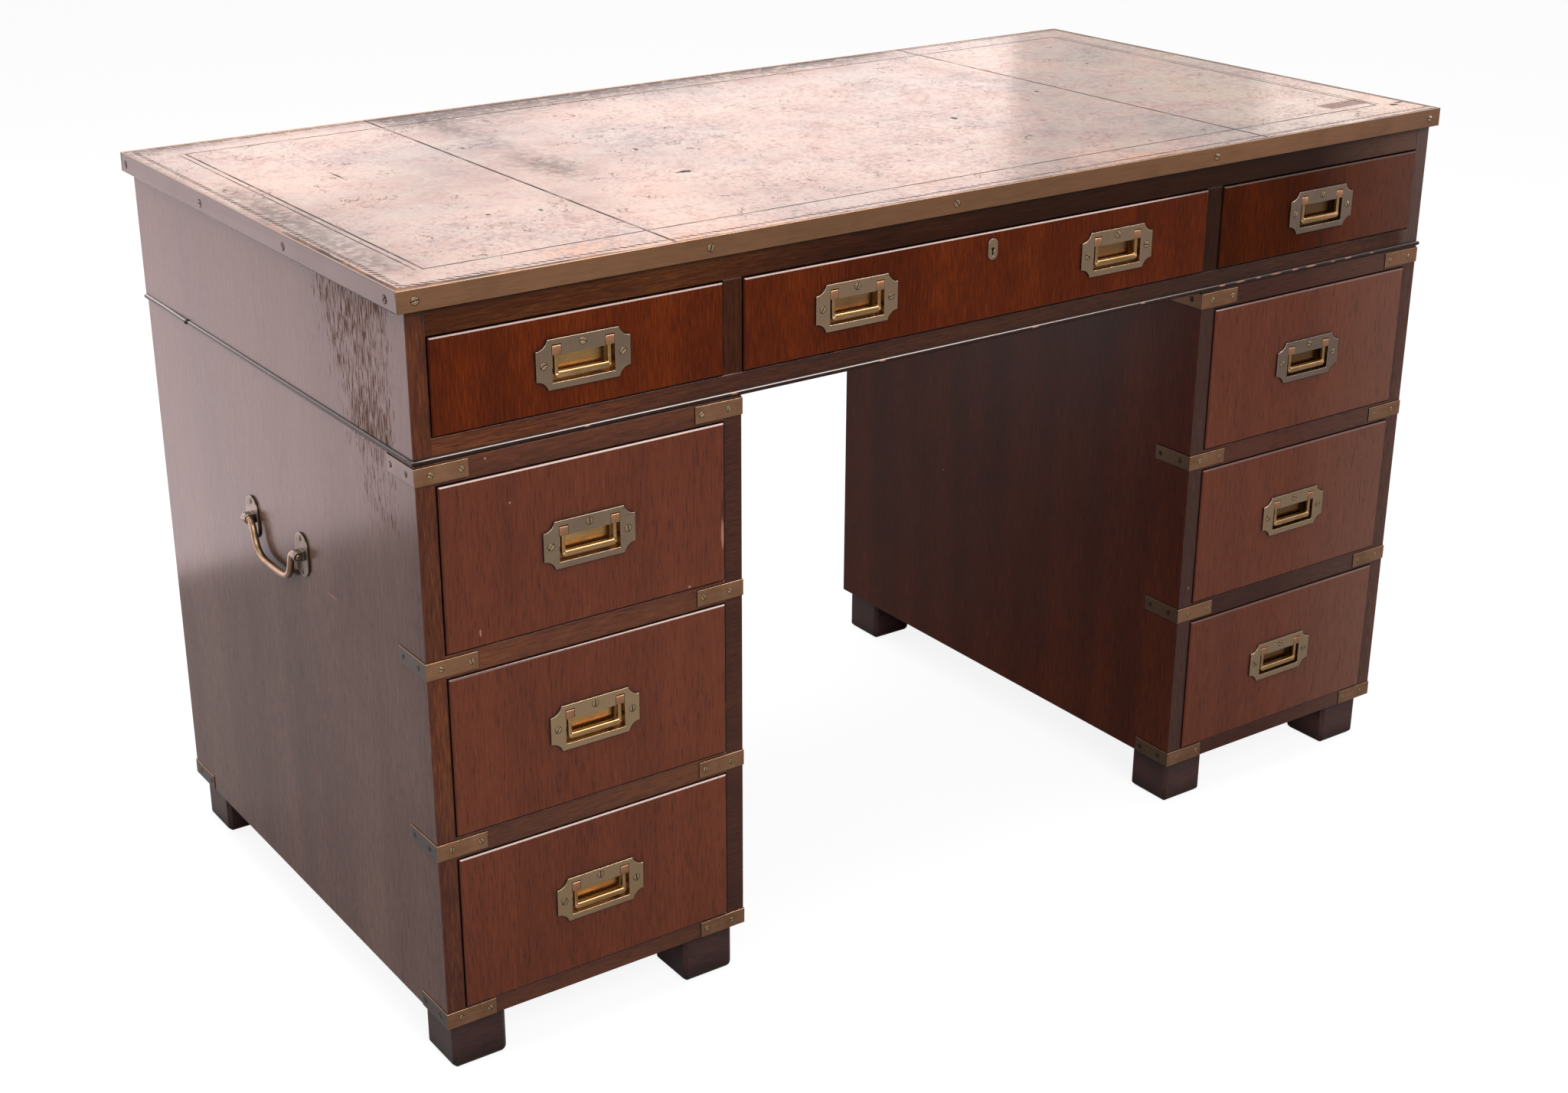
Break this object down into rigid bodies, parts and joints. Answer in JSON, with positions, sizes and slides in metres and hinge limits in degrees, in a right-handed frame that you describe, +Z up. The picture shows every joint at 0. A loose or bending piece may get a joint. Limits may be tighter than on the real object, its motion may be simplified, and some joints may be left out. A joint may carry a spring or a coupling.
{
  "type": "campaign desk",
  "caption": "Mahogany pedestal campaign desk with a leather writing surface, brass edge bands and corner straps, drawers on recessed brass pulls, and side carrying handles.",
  "frame": {"origin": "middle of the floor area under the desk", "axes": "+X across the desk to the sitter's right as seen from the front, +Y from the front to the back, +Z up"},
  "size_m": [1.2704, 0.632, 0.765],
  "materials": {
    "mahogany": "french polished, worn",
    "carcass_wood": "stained",
    "drawer_lining": "planed, unpolished",
    "foot_wood": "dark stained",
    "writing_leather": "waxed, worn",
    "brass": "aged satin",
    "lock_steel": "satin"
  },
  "bodies": {
    "left_pedestal": {"left_sides": "mahogany", "left_back": "carcass_wood", "left_rails": "carcass_wood", "left_feet": "foot_wood", "left_straps": "brass", "left_handle_plates": "brass"},
    "desk_top": {"top_board": "carcass_wood", "leather_panel": "writing_leather", "edge_bands": "brass", "frieze_carcass": "mahogany", "frieze_frame": "mahogany", "bead_moulding": "mahogany"},
    "right_pedestal": {"right_sides": "mahogany", "right_back": "carcass_wood", "right_rails": "carcass_wood", "right_feet": "foot_wood", "right_straps": "brass", "right_handle_plates": "brass"},
    "left_drawer_1_bail": {"left_drawer_1_bail": "brass"},
    "left_drawer_1": {"left_drawer_1_front": "mahogany", "left_drawer_1_box": "drawer_lining", "left_drawer_1_pull": "brass"},
    "left_drawer_2_bail": {"left_drawer_2_bail": "brass"},
    "left_drawer_2": {"left_drawer_2_front": "mahogany", "left_drawer_2_box": "drawer_lining", "left_drawer_2_pull": "brass"},
    "left_drawer_3_bail": {"left_drawer_3_bail": "brass"},
    "left_drawer_3": {"left_drawer_3_front": "mahogany", "left_drawer_3_box": "drawer_lining", "left_drawer_3_pull": "brass"},
    "right_drawer_1_bail": {"right_drawer_1_bail": "brass"},
    "right_drawer_1": {"right_drawer_1_front": "mahogany", "right_drawer_1_box": "drawer_lining", "right_drawer_1_pull": "brass"},
    "right_drawer_2_bail": {"right_drawer_2_bail": "brass"},
    "right_drawer_2": {"right_drawer_2_front": "mahogany", "right_drawer_2_box": "drawer_lining", "right_drawer_2_pull": "brass"},
    "right_drawer_3_bail": {"right_drawer_3_bail": "brass"},
    "right_drawer_3": {"right_drawer_3_front": "mahogany", "right_drawer_3_box": "drawer_lining", "right_drawer_3_pull": "brass"},
    "frieze_left_drawer_bail": {"frieze_left_drawer_bail": "brass"},
    "frieze_left_drawer": {"frieze_left_drawer_front": "mahogany", "frieze_left_drawer_box": "drawer_lining", "frieze_left_drawer_pull": "brass"},
    "frieze_centre_drawer_bail_left": {"frieze_centre_drawer_bail_left": "brass"},
    "frieze_centre_drawer_bail_right": {"frieze_centre_drawer_bail_right": "brass"},
    "lock_bolt": {"lock_bolt": "lock_steel"},
    "frieze_centre_drawer": {"frieze_centre_drawer_front": "mahogany", "frieze_centre_drawer_box": "drawer_lining", "frieze_centre_drawer_pull_left": "brass", "frieze_centre_drawer_pull_right": "brass", "lock": "brass"},
    "frieze_right_drawer_bail": {"frieze_right_drawer_bail": "brass"},
    "frieze_right_drawer": {"frieze_right_drawer_front": "mahogany", "frieze_right_drawer_box": "drawer_lining", "frieze_right_drawer_pull": "brass"},
    "left_handle_grip": {"left_handle_grip": "brass"},
    "right_handle_grip": {"right_handle_grip": "brass"}
  },
  "joints": [
    {"name": "top_lift", "type": "slide", "parent": "left_pedestal", "child": "desk_top", "axis": [0, 0, 1], "range_m": [0, 0.1]},
    {"name": "right_pedestal_seat", "type": "slide", "parent": "desk_top", "child": "right_pedestal", "axis": [0, 0, -1], "range_m": [0, 0.1]},
    {"name": "left_drawer_1_bail_hinge", "type": "hinge", "parent": "left_drawer_1", "child": "left_drawer_1_bail", "pos_m": [-0.4574, -0.3127, 0.52355], "axis": [-1, 0, 0], "range_deg": [-5, 90]},
    {"name": "left_drawer_1_slide", "type": "slide", "parent": "left_pedestal", "child": "left_drawer_1", "axis": [0, -1, 0], "range_m": [0, 0.38]},
    {"name": "left_drawer_2_bail_hinge", "type": "hinge", "parent": "left_drawer_2", "child": "left_drawer_2_bail", "pos_m": [-0.4574, -0.3127, 0.34305], "axis": [-1, 0, 0], "range_deg": [-5, 90]},
    {"name": "left_drawer_2_slide", "type": "slide", "parent": "left_pedestal", "child": "left_drawer_2", "axis": [0, -1, 0], "range_m": [0, 0.38]},
    {"name": "left_drawer_3_bail_hinge", "type": "hinge", "parent": "left_drawer_3", "child": "left_drawer_3_bail", "pos_m": [-0.4574, -0.3127, 0.16255], "axis": [-1, 0, 0], "range_deg": [-5, 90]},
    {"name": "left_drawer_3_slide", "type": "slide", "parent": "left_pedestal", "child": "left_drawer_3", "axis": [0, -1, 0], "range_m": [0, 0.38]},
    {"name": "right_drawer_1_bail_hinge", "type": "hinge", "parent": "right_drawer_1", "child": "right_drawer_1_bail", "pos_m": [0.4574, -0.3127, 0.52355], "axis": [-1, 0, 0], "range_deg": [-5, 90]},
    {"name": "right_drawer_1_slide", "type": "slide", "parent": "right_pedestal", "child": "right_drawer_1", "axis": [0, -1, 0], "range_m": [0, 0.38]},
    {"name": "right_drawer_2_bail_hinge", "type": "hinge", "parent": "right_drawer_2", "child": "right_drawer_2_bail", "pos_m": [0.4574, -0.3127, 0.34305], "axis": [-1, 0, 0], "range_deg": [-5, 90]},
    {"name": "right_drawer_2_slide", "type": "slide", "parent": "right_pedestal", "child": "right_drawer_2", "axis": [0, -1, 0], "range_m": [0, 0.38]},
    {"name": "right_drawer_3_bail_hinge", "type": "hinge", "parent": "right_drawer_3", "child": "right_drawer_3_bail", "pos_m": [0.4574, -0.3127, 0.16255], "axis": [-1, 0, 0], "range_deg": [-5, 90]},
    {"name": "right_drawer_3_slide", "type": "slide", "parent": "right_pedestal", "child": "right_drawer_3", "axis": [0, -1, 0], "range_m": [0, 0.38]},
    {"name": "frieze_left_drawer_bail_hinge", "type": "hinge", "parent": "frieze_left_drawer", "child": "frieze_left_drawer_bail", "pos_m": [-0.4576, -0.3118, 0.69], "axis": [-1, 0, 0], "range_deg": [-5, 90]},
    {"name": "frieze_left_drawer_slide", "type": "slide", "parent": "desk_top", "child": "frieze_left_drawer", "axis": [0, -1, 0], "range_m": [0, 0.36]},
    {"name": "frieze_centre_drawer_bail_left_hinge", "type": "hinge", "parent": "frieze_centre_drawer", "child": "frieze_centre_drawer_bail_left", "pos_m": [-0.1628, -0.3118, 0.69], "axis": [-1, 0, 0], "range_deg": [-5, 90]},
    {"name": "frieze_centre_drawer_bail_right_hinge", "type": "hinge", "parent": "frieze_centre_drawer", "child": "frieze_centre_drawer_bail_right", "pos_m": [0.1628, -0.3118, 0.69], "axis": [-1, 0, 0], "range_deg": [-5, 90]},
    {"name": "frieze_centre_drawer_slide", "type": "slide", "parent": "desk_top", "child": "frieze_centre_drawer", "axis": [0, -1, 0], "range_m": [0, 0.36]},
    {"name": "frieze_right_drawer_bail_hinge", "type": "hinge", "parent": "frieze_right_drawer", "child": "frieze_right_drawer_bail", "pos_m": [0.4576, -0.3118, 0.69], "axis": [-1, 0, 0], "range_deg": [-5, 90]},
    {"name": "frieze_right_drawer_slide", "type": "slide", "parent": "desk_top", "child": "frieze_right_drawer", "axis": [0, -1, 0], "range_m": [0, 0.36]},
    {"name": "lock_bolt_throw", "type": "slide", "parent": "frieze_centre_drawer", "child": "lock_bolt", "axis": [0, 0, 1], "range_m": [0, 0.007]},
    {"name": "left_handle_hinge", "type": "hinge", "parent": "left_pedestal", "child": "left_handle_grip", "pos_m": [-0.6304, 0.001, 0.4455], "axis": [0, 1, 0], "range_deg": [-5, 175]},
    {"name": "right_handle_hinge", "type": "hinge", "parent": "right_pedestal", "child": "right_handle_grip", "pos_m": [0.6304, 0.001, 0.4455], "axis": [0, -1, 0], "range_deg": [-5, 175]}
  ],
  "couplings": [
    {"joint": "right_pedestal_seat", "follows": "top_lift", "ratio": 1}
  ]
}
